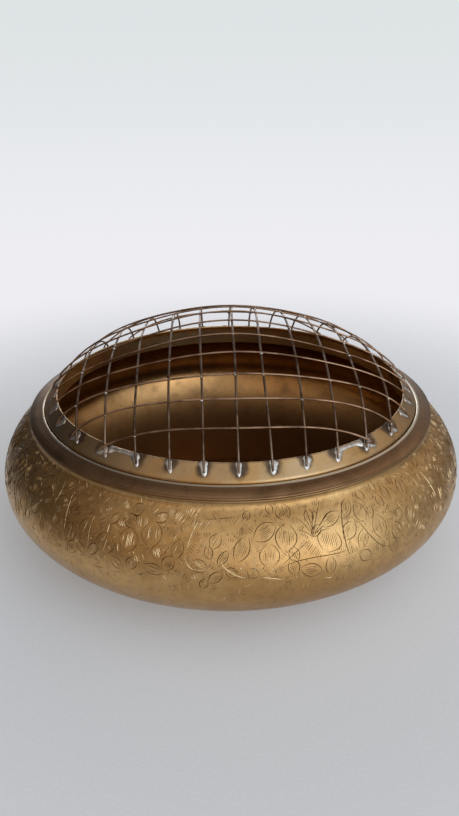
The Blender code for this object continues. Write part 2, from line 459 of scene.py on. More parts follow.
def fb_path(index, t, wire_r):
    """Centre line of a front-to-back wire: its plan, laid on the dome."""
    x, y = fb_plan(index, t)
    return np.column_stack([x, y, dome_z(x, y, wire_r)])


def cross_path(index, t, wire_r, under_r):
    """As the lower wires, but lifted by both radii, and down again at the feet."""
    x, y = cross_plan(index, t)
    near = np.clip((half_chord(line_at(index)) - np.abs(x)) / FADE, 0, 1)
    lift = (under_r + wire_r - SINK) * near * near * (3 - 2 * near)
    base = np.column_stack([x, y, dome_z(x, y, wire_r)])
    return base + dome_normal(x, y, wire_r) * lift[:, None]


def crossings():
    """Places where wires cross: both plans solved together by repeated bowing."""
    fb, cr = np.meshgrid(np.arange(WIRES), np.arange(WIRES), indexing="ij")
    x0, y0 = line_at(fb).astype(float), line_at(cr).astype(float)
    inside = np.hypot(x0, y0) < FEET_R - 1.0
    fb, cr, x0, y0 = fb[inside], cr[inside], x0[inside], y0[inside]
    x, y = x0.copy(), y0.copy()
    for _ in range(5):
        x = np.array([bowed(a, b, BOW_SIDE) + drift(i, (b / half_chord(a) + 1) / 2)
                      for a, b, i in zip(x0, y, fb)])
        y = np.array([bowed(b, a, BOW_ENDS) + cross_drift(j, (a / half_chord(b) + 1) / 2)
                      for b, a, j in zip(y0, x, cr)])
    return x, y


# ======================================================================
# engraved ornament: strokes laid out on the bowl's unrolled wall
# ======================================================================
def outer_profile():
    """The bowl's outside from the top of the neck to the base ring."""
    neck = rounded([(NECK_R, NECK_TOP), (NECK_R, 57.4), (94.9, 55.35)], 1.6, False, 7)
    start = math.degrees(math.acos((95.2 - (BELLY_R - SHOULDER_A)) / SHOULDER_A))
    shoulder = arc(BELLY_R - SHOULDER_A, BELLY_Z, SHOULDER_A, SHOULDER_B, start, 0.0, 60)
    lower = arc(FOOT_R, BELLY_Z, BELLY_R - FOOT_R, BELLY_Z, 0.0, -90.0, 60)[1:]
    return np.concatenate([neck, shoulder, lower])


class Wall:
    """The outer wall as a surface of (u, v): u mm round, v mm down from the neck."""

    def __init__(self, wobble):
        self.wobble = wobble
        self.line = resampled(outer_profile(), 0.25)
        self.along = run_along(self.line)
        self.normal = outline_normals(self.line)

    def at(self, angle, v):
        """Point and normal: the outline at v carried round, pushed by the wobble."""
        r, z = (np.interp(v, self.along, self.line[:, k]) for k in (0, 1))
        nr, nz = (np.interp(v, self.along, self.normal[:, k]) for k in (0, 1))
        normal = spun(nr, nz, angle)
        point = spun(r, z, angle)
        point += normal * ripple(angle, z, self.wobble)[..., None]
        return point, normal


class Ornament:
    """Collects strokes: rows of (round, down) points with a half width and a tone."""

    def __init__(self, wall, seed):
        self.wall = wall
        self.rng = np.random.default_rng(seed)
        self.strokes = {SHORT: [], LONG: []}
        self.looks = {SHORT: [], LONG: []}
        self.spots = []
        self.shift = 0.0

    def stroke(self, points, width, tone, kind):
        """A polyline in millimetres, smoothed by a spline and cut to the kind's count."""
        points = np.asarray(points, float)
        t = np.linspace(0, 1, len(points))
        s = np.linspace(0, 1, kind)
        if 2 < len(points) < 9:
            order = min(3, len(points) - 1)
            line = [np.polyval(np.polyfit(t, points[:, k], order), s) for k in (0, 1)]
        else:
            line = [np.interp(s, t, points[:, k]) for k in (0, 1)]
        line[0] = line[0] + self.shift
        self.strokes[kind].append(np.column_stack(line))
        self.looks[kind].append((width * self.rng.uniform(0.85, 1.15), tone))

    def curve(self, a, b, bulge, width, tone, kind=SHORT):
        """A parabola from a to b whose middle stands off the chord by bulge."""
        a, b = np.asarray(a, float), np.asarray(b, float)
        t = np.linspace(0, 1, 24)[:, None]
        side = np.array([-(b - a)[1], (b - a)[0]])
        side /= max(np.hypot(*side), 1e-6)
        self.stroke(a + (b - a) * t + side * bulge * 4 * t * (1 - t), width, tone, kind)

    def tone(self, low=0.0, high=1.0):
        """A stroke's tone: 0 is dark patina, 1 is bright metal."""
        return self.rng.uniform(low, high)

    def leaf(self, base, tip, width, hatches, slant=0.0):
        """A pointed oval: two bulged outlines with lengthwise hatching inside it.

        Hatch k stands at share f of the half width, and its length is that of the
        oval there: the square root of one less f squared.
        """
        rng = self.rng
        base, tip = np.asarray(base, float), np.asarray(tip, float)
        base, tip = base + rng.normal(0, 0.35, 2), tip + rng.normal(0, 0.35, 2)
        length = np.hypot(*(tip - base))
        along = (tip - base) / length
        side = np.array([-along[1], along[0]])
        tone, inner = self.tone(0.0, 0.3), self.tone(0.0, 1.0) ** 2 * 0.7
        for sign in (-1, 1):
            self.curve(base, tip, sign * width * 0.5 * rng.uniform(0.92, 1.08), OUTLINE_HALF,
                       tone, LONG)
        for k in range(hatches):
            f = (k + 0.5) / hatches * 2 - 1
            reach = length * 0.40 * math.sqrt(max(0.05, 1 - f * f)) * rng.uniform(0.7, 1.0)
            centre = (base + tip) / 2 + side * f * width * 0.42 + along * rng.uniform(-0.7, 0.7)
            turn = along + side * slant
            self.curve(centre - turn * reach, centre + turn * reach, -f * width * 0.09,
                       rng.uniform(*LEAF_HATCH), self.tone(inner - 0.3, inner + 0.5))
        self.spots.append((*((base + tip) / 2 + [self.shift, 0]), 0.38 * length))

    def fringe(self, line, count, reach, lean, side_sign):
        """Short strokes standing off one side of a line, all with the same lean."""
        rng = self.rng
        line = np.asarray(line, float)
        t = np.linspace(0, 1, len(line))
        for k in range(count):
            f = (k + 0.5) / count
            here = np.array([np.interp(f, t, line[:, 0]), np.interp(f, t, line[:, 1])])
            ahead = np.array([np.interp(min(f + 0.05, 1), t, line[:, 0]),
                              np.interp(min(f + 0.05, 1), t, line[:, 1])]) - here
            ahead /= max(np.hypot(*ahead), 1e-6)
            side = np.array([-ahead[1], ahead[0]]) * side_sign
            way = (side + ahead * lean) * reach * rng.uniform(0.7, 1.15)
            self.curve(here + side * 0.35, here + way, 0.15, rng.uniform(*FRINGE_HATCH), self.tone())

    def feather(self, foot, tip, reach, count, lean=0.9):
        """A rib with a row of parallel strokes leaning off both sides."""
        line = np.linspace(foot, tip, 12)
        self.curve(foot, tip, 0.6, 0.17, self.tone(0, 0.4), LONG)
        for sign in (-1, 1):
            self.fringe(line, count, reach, lean, sign)
        self.spots.append((*(np.mean([foot, tip], 0) + [self.shift, 0]), 7.0))

    def hatch_patch(self, centre, angle, width, height, count):
        """A block of parallel cuts, each as long as a soft oval allows."""
        rng = self.rng
        along = np.array([math.cos(angle), math.sin(angle)])
        side = np.array([-along[1], along[0]])
        inner = self.tone(0.0, 0.6)
        for k in range(count):
            f = (k + 0.5) / count * 2 - 1
            half = 0.5 * height * math.sqrt(max(0.12, 1 - f * f)) * rng.uniform(0.75, 1.1)
            middle = np.asarray(centre) + side * f * width * 0.5
            self.curve(middle - along * half, middle + along * half, 0.15,
                       rng.uniform(*PATCH_HATCH), self.tone(inner - 0.3, inner + 0.5))
        self.spots.append((centre[0] + self.shift, centre[1], 0.4 * width))

    def dots(self, a, b, count):
        """A row of tiny nicks struck across a line."""
        for spot in np.linspace(a, b, count):
            here = spot + self.rng.normal(0, 0.25, 2)
            self.curve(here, here + [0.25, 1.0], 0.0, 0.20, self.tone())

    def ticks(self, u, v, count):
        """A short row of upright nicks."""
        for k in range(count):
            here = np.array([u + 1.5 * k, v + self.rng.uniform(-0.6, 0.6)])
            self.curve(here, here + [self.tone(-0.3, 0.3), self.tone(1.6, 3.2)], 0.05,
                       0.15, self.tone(0.2, 1.0))

    def panel(self):
        """One panel of the pattern; lengths run right and down from its top middle."""
        line = self.stroke
        # leafy spray right of the middle
        for base, tip, width, hatches in (
                ((16.2, 19.9), (18.3, 9.1), 8.4, 9), ((10.3, 25.7), (10.6, 15.4), 7.0, 8),
                ((4.3, 14.7), (13.8, 9.3), 6.0, 7), ((18.4, 8.5), (16.8, 2.2), 6.2, 6),
                ((30.7, 22.2), (35.9, 13.8), 10.4, 9), ((31.0, 12.6), (41.3, 9.3), 4.6, 5),
                ((21.1, 27.0), (30.6, 28.6), 4.8, 5)):
            self.leaf(base, tip, width, hatches)
        line([(12.8, 26.0), (19.3, 23.3), (28.9, 23.4), (35.0, 23.3), (40.6, 23.0)], 0.24, 0.1, LONG)
        line([(14.0, 25.0), (19.6, 20.3), (27.3, 16.1)], 0.22, 0.1, LONG)
        for tip, bulge in (((26.3, 3.3), 0.8), ((25.8, 9.0), 0.5), ((31.4, 4.5), -0.8),
                           ((34.6, 3.2), -0.6), ((39.0, 7.2), -0.9), ((33.8, 12.3), -0.5),
                           ((21.6, 12.4), 0.6), ((23.0, 8.4), 0.6), ((30.0, 10.4), -0.3)):
            self.curve((27.3, 16.1), tip, bulge, 0.19, self.tone(0, 0.5), LONG)
        self.hatch_patch((26.2, 19.8), -0.75, 9, 4.6, 11)
        # tall petal: two long cuts with a fringe inside each
        left = [(45.7, 4.7), (41.9, 9.4), (40.2, 15.7), (40.2, 22.2), (41.6, 25.8)]
        right = [(45.9, 9.6), (48.8, 16.1), (51.9, 22.4), (56.6, 26.4), (61.1, 27.5)]
        line(left, 0.26, 0.0, LONG)
        line(right, 0.27, 0.0, LONG)
        self.fringe(left[1:], 17, 3.0, -0.8, -1)
        self.fringe(right[:4], 15, 2.8, 0.3, 1)
        self.leaf((46.0, 24.0), (49.6, 18.0), 4.6, 6)
        for a, b in (((46.7, 8.2), (59.2, 13.0)), ((59.2, 13.8), (69.0, 16.5)),
                     ((55.6, 3.0), (72.4, 6.2)), ((54.0, 11.6), (66.0, 18.6))):
            self.dots(np.array(a), np.array(b), 14)
        self.leaf((57.5, 24.0), (56.0, 14.5), 6.6, 7)
        self.leaf((66.0, 27.0), (63.5, 19.4), 6.0, 6)
        self.leaf((72.5, 24.0), (76.0, 16.5), 6.4, 7)
        # trailing cuts and a pair of leaves at the right-hand end
        line([(78.0, 3.4), (81.4, 9.5), (82.0, 16.3), (80.3, 22.4)], 0.20, 0.35, LONG)
        line([(83.5, 5.0), (85.4, 10.0), (85.0, 15.7)], 0.20, 0.5, LONG)
        self.leaf((74.5, 13.6), (77.2, 5.6), 5.2, 6)
        # middle: feather, bold cuts and two hanging loops with fringes
        self.feather((-16.2, 7.0), (3.2, 4.6), 3.6, 14, -0.9)
        self.hatch_patch((-9.0, 5.0), 0.9, 6, 5, 7)
        for a, b in (((-18.0, 2.0), (-19.8, 5.8)), ((-15.9, 2.0), (-18.7, 7.0)),
                     ((-19.4, 2.2), (-21.0, 6.0)), ((-16.6, 7.6), (-18.5, 11.6))):
            self.curve(a, b, 0.2, 0.22, self.tone(*BRIGHT))
        line([(-16.6, 7.6), (-18.5, 11.4), (-19.9, 16.0), (-20.6, 18.5)], 0.2, 0.5, LONG)
        loop = [(-20.6, 17.5), (-20.3, 21.9), (-18.0, 24.8), (-15.1, 25.6), (-12.2, 24.0),
                (-10.5, 20.4), (-11.7, 17.7)]
        line(loop, 0.22, 0.8, LONG)
        self.fringe(loop[1:6], 11, 2.6, -0.2, -1)
        loop = [(-7.6, 19.7), (-7.2, 22.8), (-4.4, 25.7), (-0.8, 27.4), (2.0, 27.8)]
        line(loop, 0.20, 0.7, LONG)
        self.fringe(loop, 13, 2.4, -0.2, -1)
        self.leaf((-2.5, 22.5), (2.0, 13.5), 5.6, 6)
        self.leaf((-11.4, 17.0), (-8.0, 11.2), 4.4, 5)
        line([(4.3, 21.3), (4.5, 24.5), (4.9, 27.6)], 0.16, 0.9, LONG)
        line([(6.5, 28.2), (9.9, 28.6), (15.3, 29.9)], 0.2, 0.9, LONG)
        # left of the middle: round leaves on stems and feathered branches
        for base, tip, width, hatches in (
                ((-33.4, 19.5), (-34.8, 9.1), 8.2, 11), ((-54.0, 25.3), (-52.4, 16.9), 7.8, 8),
                ((-43.9, 22.7), (-43.4, 13.5), 7.8, 9), ((-25.0, 22.0), (-23.0, 14.0), 4.6, 6),
                ((-64.0, 22.5), (-62.0, 14.0), 5.6, 7), ((-70.5, 26.0), (-69.0, 17.6), 6.0, 7),
                ((-28.0, 27.0), (-36.5, 26.0), 4.2, 5)):
            self.leaf(base, tip, width, hatches)
        line([(-30.0, 24.0), (-26.5, 17.0), (-23.5, 11.0), (-21.0, 6.0)], 0.2, 0.4, LONG)
        line([(-49.5, 25.0), (-48.5, 15.3), (-44.9, 9.4), (-42.3, 4.9), (-39.6, 2.6)], 0.2, 0.4, LONG)
        branch = [(-48.0, 13.0), (-44.9, 9.4), (-42.3, 4.9), (-39.6, 2.6)]
        self.fringe(branch, 9, 3.2, 0.6, 1)
        self.fringe(branch, 8, 2.8, 0.6, -1)
        line([(-75.8, 8.2), (-74.4, 15.8), (-73.3, 22.4)], 0.22, 0.95, LONG)
        line([(-60.4, 12.4), (-60.9, 18.0), (-60.2, 25.0)], 0.14, 0.5, LONG)
        for centre, angle, width, height, count in (
                ((-49.5, 4.9), -0.9, 9, 3.6, 13), ((-36.4, 4.4), -0.8, 9, 4.2, 12),
                ((-28.3, 5.4), -1.45, 4, 5.4, 6), ((-24.4, 6.8), -1.0, 4.6, 5.6, 6),
                ((-27.5, 12.4), -1.2, 4.4, 5.6, 6), ((-58.5, 6.5), -0.8, 6, 4.4, 8),
                ((-66.8, 7.4), -0.7, 5, 4.0, 7), ((-79.0, 6.4), -0.9, 5, 4.6, 7),
                ((-56.8, 12.6), -0.6, 4.6, 4.2, 6), ((-80.0, 15.0), 0.7, 6, 5.0, 7),
                ((-80.0, 15.4), -0.7, 6, 5.0, 7), ((8.0, 4.6), -0.9, 6, 3.6, 8)):
            self.hatch_patch(centre, angle, width, height, count)

    def fill(self, count, low, high, small, large):
        """Small leaves and hatching dropped wherever the wall is still empty."""
        rng = self.rng
        ring = TAU * BELLY_R
        for _ in range(count):
            u, v, turn = rng.uniform(0, ring), rng.uniform(low, high), rng.uniform(-2.6, -0.5)
            size = rng.uniform(small, large)
            spots = np.array(self.spots)
            gap = np.abs((spots[:, 0] - u + ring / 2) % ring - ring / 2)
            if np.any(np.hypot(gap, spots[:, 1] - v) < spots[:, 2] + 0.34 * size):
                continue
            run = np.array([math.cos(turn), math.sin(turn)]) * size * 0.5
            if rng.uniform() < 0.6 and size > 4.5:
                width = size * rng.uniform(0.5, 0.75)
                self.leaf((u, v) - run, (u, v) + run, width, max(3, int(width / 0.85)),
                          rng.uniform(-0.2, 0.2))
            else:
                self.hatch_patch((u, v), turn, size * 0.9, size * 0.7, max(3, int(1.15 * size)))

    def mesh(self, kind, height_share):
        """Each stroke as a closed ridge: two flanks that meet on a crest, and a foot.

        The half width swells from nothing at each end as a power of a sine, and
        the crest's height follows it.
        """
        lines = np.array(self.strokes[kind])
        width, tone = np.array(self.looks[kind]).T
        count = len(lines)
        angle = lines[..., 0] / BELLY_R - 0.5 * math.pi
        v = np.clip(lines[..., 1], 1.4, self.wall.along[-1] - 2.0)
        centre, normal = self.wall.at(angle, v)
        way = np.gradient(centre, axis=1)
        way /= np.maximum(np.linalg.norm(way, axis=-1), 1e-9)[..., None]
        side = np.cross(normal, way)
        swell = np.sin(math.pi * np.linspace(0, 1, kind)) ** 0.55
        half = width[:, None] * swell[None]
        crest = centre + normal * (half * height_share)[..., None]
        left = centre + side * half[..., None] - normal * SINK
        right = centre - side * half[..., None] - normal * SINK
        rows = kind - 2
        verts = np.stack([left, crest, right], 2)[:, 1:-1].reshape(count, rows * 3, 3)
        ends = np.stack([centre[:, 0] - normal[:, 0] * 0.04, centre[:, -1] - normal[:, -1] * 0.04], 1)
        verts = np.concatenate([verts, ends], 1)
        tips = np.concatenate([pole_faces(rows * 3, 0, 3, False),
                               pole_faces(rows * 3 + 1, (rows - 1) * 3, 3, True)])
        points, faces = many(verts[0], [tips, grid_faces(rows, 3)], verts)
        return points, faces, np.repeat(tone, rows * 3 + 2)


def draw_ornament(wall):
    """The same panel four times round the wall, then filling and nicks by rule."""
    art = Ornament(wall, 41)
    rng = art.rng
    ring = TAU * BELLY_R
    for k in range(PANELS):
        art.shift = ring / PANELS * k
        art.panel()
    art.shift = 0.0
    art.fill(6000, 4.2, 28.0, 5.0, 8.5)
    art.fill(9000, 3.0, 30.0, 3.2, 4.6)
    art.fill(9000, 2.6, 12.0, 2.4, 3.6)
    art.fill(5000, 12.0, 29.0, 2.2, 3.2)
    for u in np.arange(0, ring, 7.5):
        if rng.uniform() < 0.85:
            art.ticks(u + rng.uniform(-3, 3), rng.uniform(31, 37), rng.integers(1, 4))
        if rng.uniform() < 0.35:
            here = np.array([u, rng.uniform(28, 33)])
            art.curve(here, here + [rng.uniform(3, 6), rng.uniform(-2.5, 1)], 0.4, 0.16, art.tone())
    return art


# ======================================================================
# materials
# ======================================================================
class Nodes:
    """Adds and joins shader nodes in one tree. A value is a socket or a constant."""

    def __init__(self, tree):
        self.tree = tree

    def add(self, kind, inputs=None, **settings):
        node = self.tree.nodes.new(kind)
        for key, value in settings.items():
            setattr(node, key, value)
        for key, value in (inputs or {}).items():
            self.put(node.inputs[key], value)
        return node

    def put(self, socket, value):
        if isinstance(value, bpy.types.NodeSocket):
            self.tree.links.new(value, socket)
        else:
            socket.default_value = value

    def object_place(self):
        return self.add("ShaderNodeTexCoord").outputs["Object"]

    def uv_place(self, scale):
        """The surface's own map: ten millimetres to the unit along the profile."""
        where = self.add("ShaderNodeUVMap", uv_map="surface").outputs[0]
        return self.add("ShaderNodeMapping", {"Vector": where, "Scale": scale}).outputs[0]

    def noise(self, place, scale, detail=3.0, rough=0.55, warp=0.0):
        node = self.add("ShaderNodeTexNoise", {"Vector": place, "Scale": scale, "Detail": detail,
                                               "Roughness": rough, "Distortion": warp})
        return node.outputs["Fac"]

    def cells(self, place, scale):
        node = self.add("ShaderNodeTexVoronoi", {"Vector": place, "Scale": scale})
        return node.outputs["Distance"]

    def ramp(self, value, low, high, to_low=0.0, to_high=1.0):
        """Smooth step from low to high, clamped at both ends."""
        node = self.add("ShaderNodeMapRange", {"Value": value, "From Min": low, "From Max": high,
                                               "To Min": to_low, "To Max": to_high},
                        interpolation_type="SMOOTHSTEP")
        return node.outputs[0]

    def blend(self, amount, first, second, mode="MIX"):
        """Mix of two colours, each a socket, three numbers or a colour setting's name."""
        node = self.add("ShaderNodeMix", data_type="RGBA", blend_type=mode)
        self.put(node.inputs[0], amount)
        for spot, value in ((6, first), (7, second)):
            if isinstance(value, str):
                value = getattr(bpy.context.scene.frog_colours, value)
            if not isinstance(value, bpy.types.NodeSocket):
                value = (*value, 1.0)
            self.put(node.inputs[spot], value)
        return node.outputs[2]

    def sum(self, a, b, operation="ADD"):
        node = self.add("ShaderNodeMath", operation=operation)
        self.put(node.inputs[0], a)
        self.put(node.inputs[1], b)
        return node.outputs[0]

    def times(self, a, b):
        return self.sum(a, b, "MULTIPLY")

    def value(self, name):
        """One of the piece's own point attributes."""
        return self.add("ShaderNodeAttribute", attribute_name=name).outputs["Fac"]

    def bump(self, height, strength, distance):
        node = self.add("ShaderNodeBump", {"Height": height, "Strength": strength,
                                           "Distance": distance * MM})
        return node.outputs[0]


class Finish(Nodes):
    """The node tree of one surface finish."""

    def __init__(self, name):
        self.mat = bpy.data.materials.new(name)
        self.mat.use_nodes = True
        super().__init__(self.mat.node_tree)
        self.shader = self.tree.nodes["Principled BSDF"]

    def finish(self, colour, roughness, normal=None, metallic=1.0):
        self.put(self.shader.inputs["Base Color"], colour)
        self.put(self.shader.inputs["Roughness"], roughness)
        self.shader.inputs["Metallic"].default_value = metallic
        if normal is not None:
            self.put(self.shader.inputs["Normal"], normal)
        return self.mat


def mat_body():
    """Aged satin brass: clouds of patina, dark spots, turning marks and scratches, painted shade low
    on the wall and a painted shadow under the collar.
    """
    n = Finish("aged_brass_wall")
    place = n.object_place()
    cloud = n.noise(place, 26.0, 4.0, 0.6, 0.6)
    fine = n.noise(place, 360.0, 4.0, 0.6)
    spots = n.ramp(n.noise(place, 70.0, 5.0, 0.7, 1.2), 0.60, 0.70)
    specks = n.ramp(n.cells(place, 230.0), 0.16, 0.05)
    colour = n.blend(n.ramp(cloud, 0.35, 0.68), "brass", "brass_deep")
    colour = n.blend(n.ramp(fine, 0.40, 0.70, 0.0, 0.28), colour, "patina")
    colour = n.blend(n.times(spots, 0.4), colour, "patina")
    colour = n.blend(n.times(specks, 0.4), colour, "soot_and_shadow")
    level = n.add("ShaderNodeSeparateXYZ", {"Vector": place}).outputs["Z"]
    # Painted shade: the wall turns a darker brown towards its bottom, as if it lay in shadow.
    colour = n.blend(n.ramp(level, 0.018, 0.036, 0.55, 0.0), colour, "low_wall_shade")
    # Painted shadow: a thin near-black band just under the collar's overhang.
    seam = n.ramp(n.value("seam"), 0.0, 1.0)
    colour = n.blend(seam, colour, "soot_and_shadow")
    turning = n.noise(n.uv_place((0.35, 14.0, 1.0)), 6.0, 5.0, 0.7)
    scratch = n.noise(n.uv_place((5.0, 1.3, 1.0)), 9.0, 6.0, 0.8, 2.0)
    rough = n.ramp(cloud, 0.3, 0.75, 0.27, 0.40)
    rough = n.sum(rough, n.ramp(spots, 0.0, 1.0, 0.0, 0.14))
    rough = n.sum(rough, n.ramp(scratch, 0.4, 0.7, -0.03, 0.06))
    height = n.sum(n.times(turning, 0.6), n.times(scratch, 0.7))
    height = n.sum(height, n.times(fine, 0.6))
    return n.finish(colour, rough, n.bump(height, 0.55, 0.12))


def mat_inside():
    """The bowl's inside: brown tarnish with old water marks, still reflective, with painted shade
    towards the bottom.
    """
    n = Finish("tarnished_inside")
    place = n.object_place()
    cloud = n.noise(place, 20.0, 4.0, 0.6, 0.5)
    fine = n.noise(place, 120.0, 4.0, 0.6)
    colour = n.blend(n.ramp(cloud, 0.3, 0.7), "inside", "inside_dark")
    colour = n.blend(n.ramp(fine, 0.45, 0.8, 0.0, 0.5), colour, "soot_and_shadow")
    turning = n.noise(n.uv_place((0.3, 10.0, 1.0)), 5.0, 4.0, 0.65)
    level = n.add("ShaderNodeSeparateXYZ", {"Vector": place}).outputs["Z"]
    # Painted shade: the colour darkens towards the bottom of the inside.
    shade = n.ramp(level, 0.006, 0.026, 0.85, 0.0)
    colour = n.blend(shade, colour, "inside_bottom_shade")
    rough = n.sum(n.ramp(cloud, 0.3, 0.75, 0.0, 0.07), n.ramp(level, 0.012, 0.027, 0.36, 0.15))
    height = n.sum(turning, n.times(fine, 0.5))
    return n.finish(colour, rough, n.bump(height, 0.3, 0.1))


def mat_cut():
    """Engraved cuts: each stroke lies between brown patina and fresh bright brass."""
    n = Finish("engraved_cuts")
    tone = n.value("tone")
    grain = n.noise(n.object_place(), 300.0, 3.0, 0.6)
    amount = n.ramp(n.sum(tone, n.ramp(grain, 0.3, 0.7, -0.12, 0.12)), 0.30, 0.70)
    colour = n.blend(amount, "cut_dark", "cut_bright")
    rough = n.ramp(grain, 0.3, 0.7, 0.20, 0.36)
    return n.finish(colour, rough, n.bump(grain, 0.3, 0.04))


def mat_collar():
    """Brown lacquered brass, rubbed through to bright metal along the lip, with a painted highlight
    there.
    """
    n = Finish("brown_collar")
    place = n.object_place()
    cloud = n.noise(place, 30.0, 4.0, 0.6, 0.8)
    fine = n.noise(place, 190.0, 4.0, 0.65)
    base = n.blend(n.ramp(cloud, 0.35, 0.7), "collar", "collar_dark")
    base = n.blend(n.ramp(fine, 0.5, 0.85, 0.0, 0.5), base, "soot_and_shadow")
    # Real wear and a painted highlight on the lip, mixed towards near-white metal.
    worn = n.sum(n.value("worn"), n.ramp(cloud, 0.3, 0.7, -0.12, 0.12))
    amount = n.ramp(worn, 0.3, 0.75)
    colour = n.blend(amount, base, "bright")
    turning = n.noise(n.uv_place((0.3, 16.0, 1.0)), 6.0, 4.0, 0.65)
    rough = n.sum(n.ramp(cloud, 0.3, 0.7, 0.24, 0.34), n.ramp(amount, 0.0, 1.0, 0.0, -0.14))
    height = n.sum(turning, n.times(fine, 0.6))
    return n.finish(colour, rough, n.bump(height, 0.4, 0.06))


def mat_ring():
    """Plain brass slope, browned by heat and flux round the soldered feet."""
    n = Finish("lid_ring_brass")
    place = n.object_place()
    cloud = n.noise(place, 38.0, 4.0, 0.6, 0.8)
    fine = n.noise(place, 210.0, 4.0, 0.65)
    colour = n.blend(n.ramp(cloud, 0.35, 0.7), "ring", "brass_deep")
    colour = n.blend(n.ramp(fine, 0.45, 0.8, 0.0, 0.35), colour, "patina")
    stain = n.sum(n.value("stain"), n.ramp(cloud, 0.3, 0.7, -0.35, 0.25))
    stain = n.sum(stain, n.ramp(fine, 0.3, 0.7, -0.15, 0.15))
    colour = n.blend(n.ramp(stain, 0.15, 0.85, 0.0, 0.92), colour, "flux")
    rough = n.sum(n.ramp(cloud, 0.3, 0.7, 0.26, 0.38), n.ramp(stain, 0.2, 0.9, 0.0, 0.18))
    turning = n.noise(n.uv_place((0.35, 16.0, 1.0)), 6.0, 4.0, 0.65)
    height = n.sum(turning, n.times(fine, 0.8))
    return n.finish(colour, rough, n.bump(height, 0.45, 0.07))


def mat_wire(name, light, dark):
    """Tarnished wire: brown, with lighter rubbed or tinned stretches."""
    n = Finish(name)
    place = n.object_place()
    run = n.noise(place, 90.0, 4.0, 0.6, 0.4)
    fine = n.noise(place, 500.0, 4.0, 0.65)
    colour = n.blend(n.ramp(run, 0.38, 0.66), light, dark)
    colour = n.blend(n.ramp(fine, 0.5, 0.8, 0.0, 0.5), colour, dark)
    rough = n.ramp(run, 0.3, 0.7, 0.28, 0.42)
    return n.finish(colour, rough, n.bump(fine, 0.4, 0.05))


def mat_solder():
    """Soft solder: grey-white skin with dull pits and darker oxide."""
    n = Finish("soft_solder")
    place = n.object_place()
    lumps = n.noise(place, 420.0, 4.0, 0.65, 0.6)
    cloud = n.noise(place, 120.0, 3.0, 0.6)
    colour = n.blend(n.ramp(lumps, 0.45, 0.75), "solder", "solder_dark")
    colour = n.blend(n.ramp(cloud, 0.5, 0.8, 0.0, 0.5), colour, "flux")
    rough = n.ramp(lumps, 0.3, 0.7, 0.24, 0.42)
    return n.finish(colour, rough, n.bump(lumps, 0.6, 0.2))


# ======================================================================
# what a user can set
# ======================================================================
def colour_prop(name, text, value):
    """A colour setting with its default."""
    return FloatVectorProperty(name=name, description=text, subtype="COLOR", size=3,
                               min=0.0, max=1.0, default=value)


class FROG_PG_sizes(PropertyGroup):
    """Sizes of the wires, the wall's wobble and the engraving"""
    wire: FloatProperty(name="Front-to-back wire", description="Diameter of the lower wires",
                        default=0.98 * MM, unit="LENGTH")
    cross_wire: FloatProperty(name="Cross wire", description="Diameter of the upper wires",
                              default=0.80 * MM, unit="LENGTH")
    wobble: FloatProperty(name="Unevenness", description="Waviness of the hand-spun walls",
                          default=0.28 * MM, unit="LENGTH")
    cut_height: FloatProperty(name="Cut steepness", description="Height of an engraved ridge "
                              "as a share of its half width", default=0.44, subtype="FACTOR")
    columns: IntProperty(name="Columns", description="Divisions round a turned piece", default=400)


class FROG_PG_colours(PropertyGroup):
    """Colours of every finish"""
    brass: colour_prop("Brass", "Light tone of the bowl's wall", (0.66, 0.415, 0.18))
    brass_deep: colour_prop("Deep brass", "Deeper tone of the wall", (0.50, 0.29, 0.11))
    # Painted shade for the lower wall
    low_wall_shade: colour_prop("Low brown", "Browner brass low on the wall", (0.38, 0.21, 0.075))
    patina: colour_prop("Patina", "Brown patina", (0.22, 0.13, 0.06))
    soot_and_shadow: colour_prop("Soot", "Near-black dirt in spots and seams", (0.05, 0.032, 0.02))
    inside: colour_prop("Inside", "Light tone of the inside", (0.56, 0.32, 0.13))
    # Near-black dirt in spots, also used for the painted shadow under the collar
    inside_dark: colour_prop("Dark inside", "Dark tone of the inside", (0.36, 0.19, 0.075))
    # Painted shade at the bottom of the inside
    inside_bottom_shade: colour_prop("Bottom inside", "Tarnish at the bottom", (0.20, 0.10, 0.04))
    cut_dark: colour_prop("Dark cut", "Patina left in a cut", (0.15, 0.085, 0.035))
    cut_bright: colour_prop("Bright cut", "Fresh metal in a cut", (0.80, 0.60, 0.34))
    collar: colour_prop("Collar", "Brown of the collar", (0.33, 0.195, 0.105))
    collar_dark: colour_prop("Dark collar", "Darker brown of the collar", (0.19, 0.11, 0.055))
    # Near-white metal: the lip's wear and its painted highlight
    bright: colour_prop("Rubbed lip", "Metal showing at the lip", (0.92, 0.84, 0.70))
    ring: colour_prop("Lid ring", "Light tone of the lid ring", (0.50, 0.355, 0.20))
    flux: colour_prop("Flux stain", "Burnt flux round the solder", (0.09, 0.065, 0.05))
    wire: colour_prop("Lower wire", "Light tone of the lower wires", (0.37, 0.275, 0.21))
    wire_dark: colour_prop("Dark lower wire", "Dark tone of the lower wires", (0.12, 0.075, 0.05))
    cross: colour_prop("Cross wire", "Light tone of the cross wires", (0.40, 0.25, 0.16))
    cross_dark: colour_prop("Dark cross wire", "Dark tone of the cross wires", (0.15, 0.085, 0.05))
    solder: colour_prop("Solder", "Bright skin of the solder", (0.68, 0.66, 0.63))
    solder_dark: colour_prop("Dull solder", "Dull parts of the solder", (0.42, 0.40, 0.38))


def settings():
    """The sizes as they are set now."""
    return bpy.context.scene.frog_sizes


